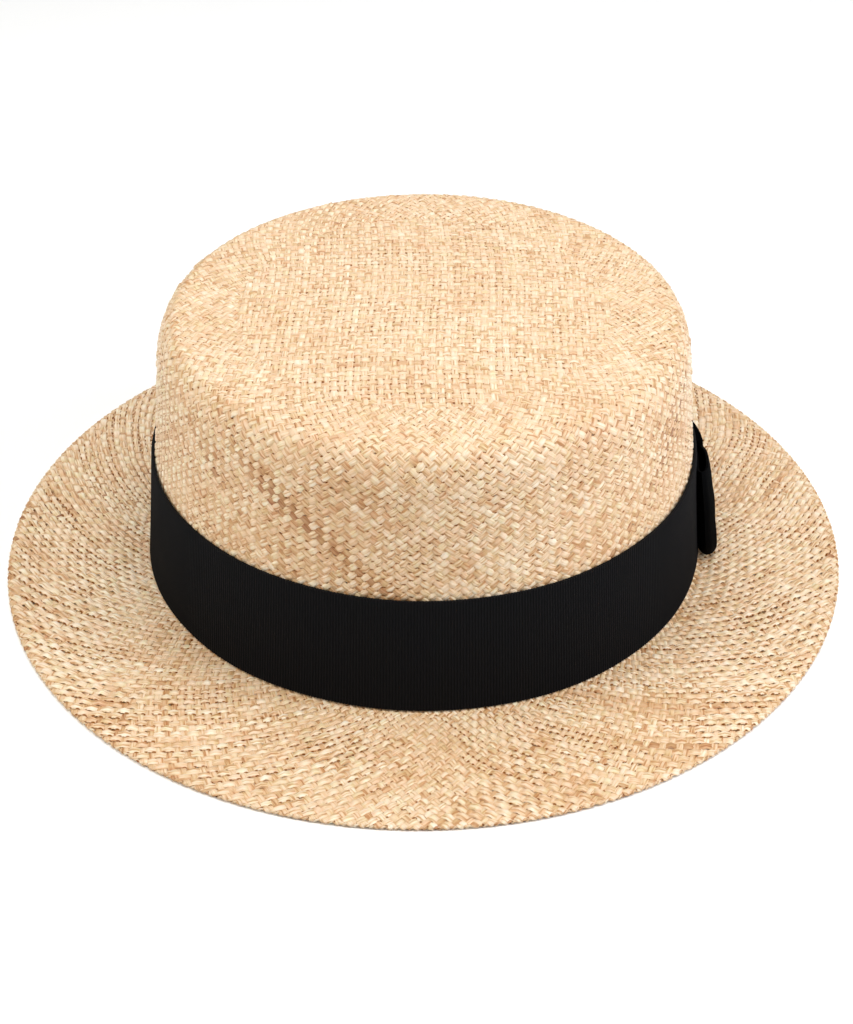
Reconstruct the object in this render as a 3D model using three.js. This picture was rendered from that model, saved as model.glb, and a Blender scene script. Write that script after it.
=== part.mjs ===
// A straw boater: a flat-topped oval crown on a flat oval brim, a ribbon band round the foot of the
// crown, and a flat bow on the band at the wearer's left.
// Millimetres, +Z up. -Y is the front and +X the wearer's left. The brim's underside lies on Z = 0,
// and the Z axis runs through the middle of the crown.
import * as THREE from 'three';
import { mergeVertices } from 'three/addons/utils/BufferGeometryUtils.js';

// Thickness of the straw and of the ribbon, and the clearance between neighbouring pieces
const STRAW = 1.5;
const CLOTH = 1.0;
const GAP = 0.3;

// Brim: a flat oval, whose long axis is turned a little from the crown's
const BRIM_HALF_WIDTH = 135.3;
const BRIM_HALF_LENGTH = 152.2;
const BRIM_TURN_DEG = -2.5;
const BRIM_THICK = 1.6;
const BRIM_EDGE_ROUND = 0.5;

// Crown: half-axes outside the straw at its foot, and heights above the top of the brim.
// The wall leans in by WALL_LEAN for each millimetre of height.
const CROWN_HALF_WIDTH = 89.0;
const CROWN_HALF_LENGTH = 99.7;
const CROWN_HEIGHT = 81.3;
const WALL_LEAN = 0.086;
const SHOULDER_IN = 7;
const SHOULDER_DOWN = 14;
const TOP_RISE = 1.5;

// Ribbon band round the foot of the crown
const RIBBON_HEIGHT = 36.4;

// Bow: lengths run along the band, from the middle of the bow, and heights from the brim's top.
// The loops are full at their middles, and the knot pinches them in thickness and in height.
// BOW_TILT is the share by which the bow stands out more at its lower edge and less at its upper one.
const BOW_BEHIND_SIDE = 14.3;
const BOW_LENGTH = 70;
const BOW_BOTTOM = 2.2;
const BOW_TOP = 32.2;
const BOW_FULL = 5.0;
const BOW_PINCHED = 2.8;
const BOW_TILT = 0.11;
const BOW_FOLD = 6.0;
const BOW_CORNER = 2.3;
const WAIST_HEIGHT = 17.6;
const WAIST_REACH = 14.3;
const KNOT_WIDTH = 13;
const KNOT_CORNER = 0.9;

// Fineness of the facets
const ROUND_STEPS = 72;
const BRIM_STEPS = 48;
const SHOULDER_STEPS = 6;
const TOP_STEPS = 4;
const LOOP_STEPS = 22;
const LOOP_ROWS = 6;
const KNOT_ROWS = 4;

// Sizes that follow from those above
const CROWN_FOOT = BRIM_THICK + GAP;
const CROWN_EDGE = BRIM_THICK + CROWN_HEIGHT;
const WALL_TOP = CROWN_HEIGHT - SHOULDER_DOWN;
const FLAT_HALF_WIDTH = CROWN_HALF_WIDTH - WALL_LEAN * WALL_TOP - SHOULDER_IN;
const LENGTHENING = CROWN_HALF_LENGTH - CROWN_HALF_WIDTH;
const BAND_OUT = GAP + CLOTH;
const BOW_MIDDLE = (BOW_BOTTOM + BOW_TOP) / 2;
const BOW_HALF_HEIGHT = (BOW_TOP - BOW_BOTTOM) / 2;

// Moves every vertex of a geometry by a function, and joins the vertices that then coincide.
function reshape(geometry, place) {
  const position = geometry.getAttribute('position');
  const point = new THREE.Vector3();
  for (let i = 0; i < position.count; i += 1) {
    point.fromBufferAttribute(position, i);
    place(point);
    position.setXYZ(i, point.x, point.y, point.z);
  }
  geometry.deleteAttribute('normal');
  geometry.deleteAttribute('uv');
  const merged = mergeVertices(geometry);
  merged.computeVertexNormals();
  return merged;
}

// Turns a profile of radius and height about Z, and draws the rounds out along Y into ovals:
// by the same length everywhere on the wall, and in proportion on the flat top.
function ovalLathe(profile) {
  const turned = new THREE.LatheGeometry(profile, ROUND_STEPS).rotateX(Math.PI / 2);
  return reshape(turned, (point) => {
    const radius = Math.max(Math.hypot(point.x, point.y), FLAT_HALF_WIDTH);
    point.y *= (radius + LENGTHENING) / radius;
  });
}

// One face of the crown, from its foot to the middle of the top, set in from the outer face by inset.
function crownFace(inset) {
  const points = [new THREE.Vector2(CROWN_HALF_WIDTH - WALL_LEAN * GAP - inset, CROWN_FOOT)];
  const shoulderIn = SHOULDER_IN - inset;
  const shoulderDown = SHOULDER_DOWN - inset;
  for (let i = 0; i <= SHOULDER_STEPS; i += 1) {
    const angle = (i / SHOULDER_STEPS) * (Math.PI / 2);
    const radius = FLAT_HALF_WIDTH + shoulderIn * Math.cos(angle);
    points.push(new THREE.Vector2(radius, BRIM_THICK + WALL_TOP + shoulderDown * Math.sin(angle)));
  }
  for (let i = TOP_STEPS - 1; i >= 0; i -= 1) {
    const part = i / TOP_STEPS;
    points.push(new THREE.Vector2(FLAT_HALF_WIDTH * part, CROWN_EDGE - inset + TOP_RISE * (1 - part * part)));
  }
  return points;
}

function crown() {
  return ovalLathe([...crownFace(STRAW).reverse(), ...crownFace(0)]);
}

// A plate cut from the brim's oval, with the crown's inner oval open through it.
function brim() {
  const turn = THREE.MathUtils.degToRad(BRIM_TURN_DEG);
  const outline = new THREE.Shape();
  outline.absellipse(0, 0, BRIM_HALF_WIDTH, BRIM_HALF_LENGTH, 0, 2 * Math.PI, false, turn);
  const opening = new THREE.Path();
  opening.absellipse(0, 0, CROWN_HALF_WIDTH - STRAW, CROWN_HALF_LENGTH - STRAW, 0, 2 * Math.PI, true);
  outline.holes.push(opening);
  const plate = new THREE.ExtrudeGeometry(outline, {
    depth: BRIM_THICK - 2 * BRIM_EDGE_ROUND,
    curveSegments: BRIM_STEPS,
    bevelThickness: BRIM_EDGE_ROUND,
    bevelSize: BRIM_EDGE_ROUND,
    bevelOffset: -BRIM_EDGE_ROUND,
    bevelSegments: 2,
  });
  return reshape(plate, (point) => {
    point.z += BRIM_EDGE_ROUND;
  });
}

// A band that leans in with the crown's wall.
function ribbonBand() {
  const foot = CROWN_HALF_WIDTH + GAP - WALL_LEAN * GAP;
  const head = CROWN_HALF_WIDTH + GAP - WALL_LEAN * RIBBON_HEIGHT;
  const top = BRIM_THICK + RIBBON_HEIGHT;
  return ovalLathe([
    new THREE.Vector2(foot, CROWN_FOOT),
    new THREE.Vector2(foot + CLOTH, CROWN_FOOT),
    new THREE.Vector2(head + CLOTH, top),
    new THREE.Vector2(head, top),
    new THREE.Vector2(foot, CROWN_FOOT),
  ]);
}

// Puts a point of the bow, given as distance out from the band, length along it and height, on the
// hat's side.
function ontoBand(point, out, along, height) {
  const tilt = 1 - (BOW_TILT * (height - BOW_MIDDLE)) / BOW_HALF_HEIGHT;
  const reach = BAND_OUT - WALL_LEAN * height + GAP + (out - GAP) * tilt;
  const angle = (BOW_BEHIND_SIDE + along) / (CROWN_HALF_LENGTH + BAND_OUT);
  const across = (CROWN_HALF_WIDTH + reach) * Math.cos(angle);
  const back = (CROWN_HALF_LENGTH + reach) * Math.sin(angle);
  point.set(across, back, BRIM_THICK + height);
}

// How near a length along the bow is to the knot: 1 at the middle, falling to 0 in the loops.
function nearKnot(along) {
  return Math.exp(-((along / WAIST_REACH) ** 2));
}

function bowOut(along) {
  return THREE.MathUtils.lerp(BOW_FULL, BOW_PINCHED, nearKnot(along));
}

function bowHalfHeight(along) {
  return THREE.MathUtils.lerp(BOW_HALF_HEIGHT, WAIST_HEIGHT / 2, nearKnot(along));
}

// A point on the flattened loops: turn goes round them, inset is measured in from their outer face.
// Level runs from -1 at their lower edge to 1 at their upper edge, where the corners are rounded off.
function ontoLoops(point, turn, inset, level) {
  const half = BOW_LENGTH / 2 - inset;
  const fold = BOW_FOLD - inset;
  const run = half * Math.sin(turn);
  const intoFold = Math.max(0, Math.abs(run) - (half - fold)) / fold;
  const roundness = Math.sqrt(Math.max(0, 1 - intoFold * intoFold));
  const middle = (bowOut(run) + GAP) / 2;
  const halfThick = (bowOut(run) - GAP) / 2 - inset;
  const out = middle + Math.sign(Math.cos(turn)) * halfThick * roundness;
  const along = run * (1 - (2 * BOW_CORNER * level ** 4) / BOW_LENGTH);
  ontoBand(point, out, along, BOW_MIDDLE + level * bowHalfHeight(along));
}

// The two loops: one length of ribbon folded flat, open at its upper and lower edges.
// It starts as a ring of radius 1 inside and 2 outside, and 2 high.
function bowLoops() {
  const section = [];
  for (let row = 0; row <= LOOP_ROWS; row += 1) {
    const level = (2 * row) / LOOP_ROWS - 1;
    section.push(new THREE.Vector2(2, level));
    section.unshift(new THREE.Vector2(1, level));
  }
  section.push(section[0].clone());
  const ring = new THREE.LatheGeometry(section, 2 * LOOP_STEPS).rotateX(Math.PI / 2);
  return reshape(ring, (point) => {
    const inset = CLOTH * (2 - Math.hypot(point.x, point.y));
    ontoLoops(point, Math.atan2(point.y, point.x), inset, point.z);
  });
}

// The knot: a short strap over the waist of the loops, turned in to the band above and below them.
function bowKnot() {
  const inside = bowHalfHeight(KNOT_WIDTH / 2) + GAP;
  const outside = inside + CLOTH;
  const back = bowOut(KNOT_WIDTH / 2) + GAP;
  const front = back + CLOTH;
  const section = new THREE.Shape();
  section.moveTo(-outside, GAP);
  section.lineTo(-inside, GAP);
  section.lineTo(-inside, back);
  section.lineTo(inside, back);
  section.lineTo(inside, GAP);
  section.lineTo(outside, GAP);
  section.absarc(outside - KNOT_CORNER, front - KNOT_CORNER, KNOT_CORNER, 0, Math.PI / 2, false);
  section.absarc(-outside + KNOT_CORNER, front - KNOT_CORNER, KNOT_CORNER, Math.PI / 2, Math.PI, false);
  const strap = new THREE.ExtrudeGeometry(section, {
    depth: KNOT_WIDTH,
    steps: KNOT_ROWS,
    curveSegments: 3,
    bevelEnabled: false,
  });
  return reshape(strap, (point) => {
    ontoBand(point, point.y, point.z - KNOT_WIDTH / 2, BOW_MIDDLE + point.x);
  });
}

const STRAW_TOP_COLOUR = 0xe9cfa2;
const STRAW_BRIM_COLOUR = 0xe2c597;
const RIBBON_COLOUR = 0x1b1a1c;
const BOW_COLOUR = 0x161517;

const PIECES = [
  { name: 'crown', make: crown, colour: STRAW_TOP_COLOUR, roughness: 0.7 },
  { name: 'brim', make: brim, colour: STRAW_BRIM_COLOUR, roughness: 0.7 },
  { name: 'ribbon_band', make: ribbonBand, colour: RIBBON_COLOUR, roughness: 0.8 },
  { name: 'bow_loops', make: bowLoops, colour: BOW_COLOUR, roughness: 0.8 },
  { name: 'bow_knot', make: bowKnot, colour: BOW_COLOUR, roughness: 0.8 },
];

const hat = new THREE.Group();
for (const { name, make, colour, roughness } of PIECES) {
  const material = new THREE.MeshStandardMaterial({ color: colour, roughness, metalness: 0 });
  const piece = new THREE.Mesh(make(), material);
  piece.name = name;
  hat.add(piece);
}

export default hat;
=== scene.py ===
"""A straw boater: woven straw crown and brim, a ribbed ribbon band and a flat bow.

Every length is in metres. +Z is up, -Y the front and +X the wearer's left. The straw is woven strand by
strand: an even grid in the middle of the crown top, and two crossing sets of spirals everywhere else.
"""
import math

import bmesh
import bpy
import numpy as np
from bpy.props import FloatProperty, FloatVectorProperty, IntProperty, PointerProperty
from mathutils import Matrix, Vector


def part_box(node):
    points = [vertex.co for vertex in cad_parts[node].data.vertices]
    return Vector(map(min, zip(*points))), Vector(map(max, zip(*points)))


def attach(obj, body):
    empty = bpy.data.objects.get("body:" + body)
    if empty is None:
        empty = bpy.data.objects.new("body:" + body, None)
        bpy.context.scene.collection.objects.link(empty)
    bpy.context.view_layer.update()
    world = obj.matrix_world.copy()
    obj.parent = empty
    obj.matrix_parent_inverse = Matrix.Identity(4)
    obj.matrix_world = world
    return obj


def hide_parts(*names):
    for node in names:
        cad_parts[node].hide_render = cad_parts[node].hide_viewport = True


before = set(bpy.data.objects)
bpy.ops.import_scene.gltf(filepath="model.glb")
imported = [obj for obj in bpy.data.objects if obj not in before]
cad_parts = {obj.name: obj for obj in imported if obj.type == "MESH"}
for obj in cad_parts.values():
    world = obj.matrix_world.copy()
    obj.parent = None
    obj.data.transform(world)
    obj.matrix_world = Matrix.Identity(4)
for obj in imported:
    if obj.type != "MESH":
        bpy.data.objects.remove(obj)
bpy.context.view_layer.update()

bl_info = {
    "name": "Straw boater",
    "version": (1, 0, 0),
    "blender": (4, 5, 0),
    "location": "3D View > Sidebar > Boater",
    "description": "Weaves a straw boater hat and dresses it with a ribbon and a bow",
    "category": "Add Mesh",
}

MM = 0.001
PHOTO_SIZE = (853, 1024)
WHITE = (1.0, 1.0, 1.0)
BLACK = (0.0, 0.0, 0.0)
STRAW_GLOSS = (0.65, 0.65, 0.65)
RIBBON_GLOSS = 0.10
BOW_GLOSS = 0.018
WARM_LIGHT = (1.0, 0.97, 0.86)
COOL_LIGHT = (0.95, 0.97, 1.0)

# Sizes that the frame gives
BRIM_LOW, BRIM_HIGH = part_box("brim")
CROWN_LOW, CROWN_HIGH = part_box("crown")
BAND_LOW, BAND_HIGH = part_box("ribbon_band")
BRIM_TOP = BRIM_HIGH.z
BRIM_HALF_WIDTH = BRIM_HIGH.x
BRIM_HALF_LENGTH = BRIM_HIGH.y
FOOT_HALF_WIDTH = CROWN_HIGH.x
LENGTHENING = CROWN_HIGH.y - CROWN_HIGH.x
BAND_HALF_WIDTH = BAND_HIGH.x

# Shape of the crown and of the brim, as in the frame
WALL_LEAN = 0.086
SHOULDER_IN = 7 * MM
SHOULDER_DOWN = 14 * MM
TOP_RISE = 1.5 * MM
BRIM_TURN = math.radians(-2.5)
CROWN_EDGE = CROWN_HIGH.z - TOP_RISE
WALL_TOP = CROWN_EDGE - SHOULDER_DOWN
FLAT_HALF_WIDTH = FOOT_HALF_WIDTH - WALL_LEAN * (WALL_TOP - CROWN_LOW.z) - SHOULDER_IN
# The wall's straw ends a little above the brim, and the brim's straw turns up behind it
WALL_FOOT = BRIM_TOP + 3 * MM
BRIM_HEAD = BRIM_TOP + 5 * MM
# Straw of the brim: its middle, the bend up into the wall, and the pressed fold of its edge
BRIM_MIDDLE = 0.95 * MM
BRIM_BEND = 1.6 * MM
EDGE_FOLD = 0.31 * MM
EDGE_HALF_THICK = 0.26 * MM
PRESS_REACH = 4 * MM
PRESS_THINS = 0.55
# How far the leading lay of the brim stands out, by the run from the head opening
BRIM_LIFT = ((7 * MM, 0.0), (11 * MM, 0.18 * MM))

# Waves of the ribbon; place of the bow, clearance and gathers of its layers, and its knot
RIBBON_WAVE = 0.12 * MM
BOW_BEHIND_SIDE = 14.3 * MM
GAP = 0.3 * MM
LOOP_GATHER = 0.35 * MM
KNOT_CLOTH = 0.7 * MM
KNOT_ROUND = 0.9 * MM
KNOT_BULGE = 0.3 * MM
KNOT_SQUEEZE = 0.12
KNOT_ROWS = 10
RIM_ANGLE = math.radians(50)

# Section of a strand: its corners' places across it and up from its middle, right edge first
ACROSS = (-1.0, -0.66, 0.66, 1.0)
RAISED = (-0.15, 1.0, 1.0, -0.15)
CORNERS = len(ACROSS)
EDGE_CORNERS = (0, CORNERS - 1)
# Millimetres from one strand to the next on the map that the fibres follow, so that no two look alike
STRAND_STRIDE = 37.0

# Unevenness of the weave: sideways sway as a share of the pitch, and the soft bends of the grid
SWAY = 0.13
SWAY_LENGTH = 11 * MM
GRID_BEND = 0.9 * MM
# Where the grid meets the spirals: its ends reach under them and sink, and their ends are tucked in
GRID_OVERLAP = 3 * MM
SPIRAL_OVERLAP = 2 * MM
GRID_SINK = 0.5 * MM
GRID_SINK_REACH = 3 * MM
TUCK_DEPTH = 0.6 * MM
TUCK_LEVELS = 1.2

# Tone of the straw, from 0 for pale to 1 for brown, and how far it strays by strand, by float, along the
# strand, in patches over the hat and from one lay to the other
USUAL_TONE = 0.355
STRAND_TONE = 0.09
FLOAT_TONE = 0.02
ALONG_TONE = 0.07
PATCH_TONE = 0.06
LAY_TONE = 0.03
# Long darker and paler stretches, short burnt ones, and painted light and shade where one lay leads: the
# leading lay paler as if lit, the other darker as if in its shade
DARKER = 0.24
PALER = 0.32
BURNT = 0.18
LEAD_LIGHT_AND_SHADE = 0.20
LEAD_PUFF = 0.65
TINT_SPREAD = 0.24
PATCH_SEED = 11

# Stage: the floor, what the softboxes face, and each softbox's name, place, size and colour
FLOOR_RADIUS = 6.0
FLOOR_DROP = 0.1 * MM
HAT_MIDDLE = Vector((0, 0, 0.04))
SOFTBOXES = (
    ("top", (0.0, 0.1, 1.2), 0.8, WHITE),
    ("front", (0.0, -0.32, 1.15), 0.8, WHITE),
    ("left", (-1.1, -0.3, 0.7), 0.7, WARM_LIGHT),
    ("right", (1.1, -0.3, 0.7), 0.7, COOL_LIGHT),
    ("back", (0.0, 0.9, 0.9), 0.8, WHITE),
)

# Names of the meshes' own maps and attributes
STRAND_MAP = "strand"
BAKE_MAP = "OFBake"
TONE = "tone"
HEIGHT = "height"
TINT = "tint"
SLACK = "slack"


class StrawSettings(bpy.types.PropertyGroup):
    """Sizes and colours of the straw"""

    column_pitch: FloatProperty(
        name="Column pitch", description="Distance between the crown top's front-to-back strands",
        default=2.2 * MM, unit="LENGTH", precision=4)
    row_pitch: FloatProperty(
        name="Row pitch",
        description="Distance between its side-to-side strands, before the oval stretches it",
        default=2.45 * MM, unit="LENGTH", precision=4)
    grid_radius: FloatProperty(
        name="Grid radius", description="Half-width of the even grid on the crown top",
        default=58 * MM, unit="LENGTH", precision=4)
    wall_strands: IntProperty(
        name="Wall strands", description="Strands of each lay round the crown", default=140)
    brim_strands: IntProperty(
        name="Brim strands", description="Strands of each lay round the brim", default=214)
    rim_step: FloatProperty(
        name="Rim step", description="From one ring of crossings to the next on the rim of the crown top",
        default=1.62 * MM, unit="LENGTH", precision=5)
    wall_step: FloatProperty(
        name="Wall step", description="From one ring of crossings to the next on the crown's wall",
        default=1.33 * MM, unit="LENGTH", precision=5)
    brim_step: FloatProperty(
        name="Brim step", description="From one ring of crossings to the next on the brim",
        default=1.50 * MM, unit="LENGTH", precision=5)
    thickness: FloatProperty(
        name="Strand thickness", description="Thickness of one straw strand",
        default=0.50 * MM, unit="LENGTH", precision=5)
    rise: FloatProperty(
        name="Strand rise", description="How far a strand rises and falls where it crosses another",
        default=0.24 * MM, unit="LENGTH", precision=5)
    fill: FloatProperty(
        name="Fill", description="Width of a strand as a share of the pitch", default=1.0, subtype="FACTOR")
    # It leaves the weave's shape alone. It scales the painted shade of dips and pin-holes, the painted
    # light and shade of the leading lay, and the spread of tones on the crown top
    top_shade_and_spread: FloatProperty(
        name="Top openness", description="How open the crown top's weave is, beside that of the rest",
        default=0.45, subtype="FACTOR")
    hem: FloatProperty(
        name="Hem", description="How far the brim's edge is turned under",
        default=5 * MM, unit="LENGTH", precision=4)
    # Painted shade: darkens a strand's edges, where they sink between the strands beside it
    edge: FloatVectorProperty(
        name="Edge shade", description="Tint of a strand's edges",
        default=(0.94, 0.88, 0.80), subtype="COLOR", size=3, min=0, max=1)
    streak: FloatVectorProperty(
        name="Streak", description="Tint of the darker streaks along a strand",
        default=(0.90, 0.80, 0.66), subtype="COLOR", size=3, min=0, max=1)
    burn: FloatVectorProperty(
        name="Burn", description="Tint of the brown marks along a strand",
        default=(0.62, 0.40, 0.22), subtype="COLOR", size=3, min=0, max=1)
    # Painted shade: small dark marks where strands part, for the shade seen through the weave
    painted_pinhole_shade: FloatVectorProperty(
        name="Pin-hole", description="Tint of the small dark marks where strands part",
        default=(0.34, 0.18, 0.075), subtype="COLOR", size=3, min=0, max=1)
    # Painted shade where a strand sinks under a crossing strand
    painted_dip_shade: FloatVectorProperty(
        name="Dip shade", description="Tint of a strand where it dips under another",
        default=(0.90, 0.81, 0.70), subtype="COLOR", size=3, min=0, max=1)
    pinkish: FloatVectorProperty(
        name="Pinkish tint", description="Tint of the pinkish floats",
        default=(1.0, 0.91, 0.88), subtype="COLOR", size=3, min=0, max=1)
    greenish: FloatVectorProperty(
        name="Greenish tint", description="Tint of the greenish floats",
        default=(0.94, 0.97, 0.84), subtype="COLOR", size=3, min=0, max=1)
    pale: FloatVectorProperty(
        name="Pale straw", description="Colour of the palest strands",
        default=(0.90, 0.79, 0.63), subtype="COLOR", size=3, min=0, max=1)
    warm: FloatVectorProperty(
        name="Warm straw", description="Colour of the usual strands",
        default=(0.82, 0.63, 0.44), subtype="COLOR", size=3, min=0, max=1)
    tan: FloatVectorProperty(
        name="Tan straw", description="Colour of the darker strands",
        default=(0.64, 0.40, 0.21), subtype="COLOR", size=3, min=0, max=1)
    brown: FloatVectorProperty(
        name="Brown straw", description="Colour of the sunburnt streaks",
        default=(0.36, 0.16, 0.055), subtype="COLOR", size=3, min=0, max=1)


class RibbonSettings(bpy.types.PropertyGroup):
    """Sizes and colours of the ribbon and the bow"""

    rib_pitch: FloatProperty(
        name="Rib pitch", description="Distance between the ribbon's ribs",
        default=0.95 * MM, unit="LENGTH", precision=5)
    rib_depth: FloatProperty(
        name="Rib depth", description="Height of a rib above the groove beside it",
        default=0.25 * MM, unit="LENGTH", precision=5)
    cloth: FloatProperty(
        name="Cloth thickness", description="Thickness of the ribbon",
        default=0.7 * MM, unit="LENGTH", precision=5)
    black: FloatVectorProperty(
        name="Ribbon black", description="Colour of the ribbon",
        default=(0.0020, 0.0024, 0.0034), subtype="COLOR", size=3, min=0, max=1)
    # Painted shade: the bow's black is darker than the band's, for the shade the bow lies in
    bow_painted_shade_black: FloatVectorProperty(
        name="Bow black", description="Colour of the bow, which lies in its own shade",
        default=(0.0007, 0.0008, 0.0010), subtype="COLOR", size=3, min=0, max=1)


class BowSettings(bpy.types.PropertyGroup):
    """Sizes of the bow, with heights from the brim's top"""

    length: FloatProperty(
        name="Length", description="Length of the bow along the band",
        default=70 * MM, unit="LENGTH", precision=4)
    bottom: FloatProperty(
        name="Bottom", description="Height of the loops' lower edge",
        default=2.2 * MM, unit="LENGTH", precision=4)
    top: FloatProperty(
        name="Top", description="Height of the loops' upper edge",
        default=32.2 * MM, unit="LENGTH", precision=4)
    full: FloatProperty(
        name="Full", description="How far the loops stand out from the band",
        default=4.6 * MM, unit="LENGTH", precision=4)
    pinched: FloatProperty(
        name="Pinched", description="How far they stand out under the knot",
        default=2.1 * MM, unit="LENGTH", precision=4)
    tilt: FloatProperty(
        name="Tilt", description="Share by which the bow stands out more at its lower edge", default=0.11)
    taper: FloatProperty(
        name="Taper", description="Share by which it stands out less still towards its upper edge",
        default=0.30)
    fold: FloatProperty(
        name="Fold", description="Length of the round fold at each end",
        default=6 * MM, unit="LENGTH", precision=4)
    corner: FloatProperty(
        name="Corner", description="How far the loops' corners are rounded off",
        default=2.3 * MM, unit="LENGTH", precision=4)
    waist: FloatProperty(
        name="Waist", description="Height of the loops under the knot",
        default=17.6 * MM, unit="LENGTH", precision=4)
    waist_reach: FloatProperty(
        name="Waist reach", description="Length over which the knot gathers the loops",
        default=14.3 * MM, unit="LENGTH", precision=4)
    knot_width: FloatProperty(
        name="Knot width", description="Width of the knot along the band",
        default=13 * MM, unit="LENGTH", precision=4)


class StageSettings(bpy.types.PropertyGroup):
    """Camera, floor and lights"""

    distance: FloatProperty(
        name="Camera distance", description="From the camera to the middle of the brim's top",
        default=0.7, unit="LENGTH")
    elevation: FloatProperty(
        name="Camera elevation", description="Angle of the camera above the floor",
        default=math.radians(32.09), subtype="ANGLE")
    lens: FloatProperty(
        name="Lens", description="Focal length on a 36 mm sensor", default=74.4, unit="CAMERA")
    shift: FloatVectorProperty(
        name="Lens shift", description="Shift of the picture's centre, as a share of its height",
        default=(2.46 / PHOTO_SIZE[1], 15.95 / PHOTO_SIZE[1]), size=2)
    floor: FloatVectorProperty(
        name="Floor", description="Colour of the floor",
        default=(0.96, 0.96, 0.96), subtype="COLOR", size=3, min=0, max=1)
    sky: FloatProperty(name="Room light", description="Strength of the even light all round", default=0.26)
    top_light: FloatProperty(
        name="Top light", description="Power of the softbox overhead",
        default=2.7, unit="POWER")
    front_light: FloatProperty(
        name="Front light", description="Power of the softbox above the front",
        default=6.0, unit="POWER")
    left_light: FloatProperty(
        name="Left light", description="Power of the softbox at the picture's left",
        default=7.0, unit="POWER")
    right_light: FloatProperty(
        name="Right light", description="Power of the softbox at the picture's right",
        default=11.6, unit="POWER")
    back_light: FloatProperty(
        name="Back light", description="Power of the softbox behind",
        default=2.7, unit="POWER")


class BoaterSettings(bpy.types.PropertyGroup):
    """All settings of the hat"""

    straw: PointerProperty(type=StrawSettings)
    ribbon: PointerProperty(type=RibbonSettings)
    bow: PointerProperty(type=BowSettings)
    stage: PointerProperty(type=StageSettings)


# Material nodes

def new_material(name):
    """An empty node material with its shader and output"""
    material = bpy.data.materials.new(name)
    material.use_nodes = True
    tree = material.node_tree
    return material, tree, tree.nodes["Principled BSDF"]


def add_node(tree, kind, **values):
    """Adds a node and sets its properties"""
    node = tree.nodes.new(kind)
    for name, value in values.items():
        setattr(node, name, value)
    return node


def ramp_between(tree, factor, stops):
    """A colour ramp with a stop for each position and colour"""
    node = add_node(tree, "ShaderNodeValToRGB")
    ramp = node.color_ramp
    while len(ramp.elements) < len(stops):
        ramp.elements.new(0.5)
    for element, (position, colour) in zip(ramp.elements, stops):
        element.position = position
        element.color = (*colour, 1)
    tree.links.new(factor, node.inputs["Fac"])
    return node.outputs["Color"]


def map_range(tree, value, low, high):
    """Maps a value of 0 to 1 to a range"""
    node = add_node(tree, "ShaderNodeMapRange")
    node.inputs["To Min"].default_value = low
    node.inputs["To Max"].default_value = high
    tree.links.new(value, node.inputs["Value"])
    return node.outputs["Result"]


def scaled(tree, vector, scale):
    """Stretches texture coordinates"""
    node = add_node(tree, "ShaderNodeMapping")
    node.inputs["Scale"].default_value = scale
    tree.links.new(vector, node.inputs["Vector"])
    return node.outputs["Vector"]


def noise(tree, vector, scale, detail=3.0):
    """Noise of about 0 to 1"""
    node = add_node(tree, "ShaderNodeTexNoise")
    node.inputs["Scale"].default_value = scale
    node.inputs["Detail"].default_value = detail
    node.inputs["Roughness"].default_value = 0.55
    tree.links.new(vector, node.inputs["Vector"])
    return node.outputs["Fac"]


def multiply(tree, colour, shade):
    """A colour or grey times another"""
    node = add_node(tree, "ShaderNodeMix", data_type="RGBA", blend_type="MULTIPLY")
    node.inputs["Factor"].default_value = 1.0
    tree.links.new(colour, node.inputs["A"])
    tree.links.new(shade, node.inputs["B"])
    return node.outputs["Result"]


def away_from_middle(tree, strand):
    """0 along the middle of a strand and 1 along its edges"""
    split = add_node(tree, "ShaderNodeSeparateXYZ")
    size = add_node(tree, "ShaderNodeMath", operation="ABSOLUTE")
    tree.links.new(strand, split.inputs["Vector"])
    tree.links.new(split.outputs["Y"], size.inputs[0])
    return size.outputs["Value"]


def bumped(tree, height, distance):
    """A normal from a height"""
    node = add_node(tree, "ShaderNodeBump")
    node.inputs["Strength"].default_value = 1.0
    node.inputs["Distance"].default_value = distance
    tree.links.new(height, node.inputs["Height"])
    return node.outputs["Normal"]


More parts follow.
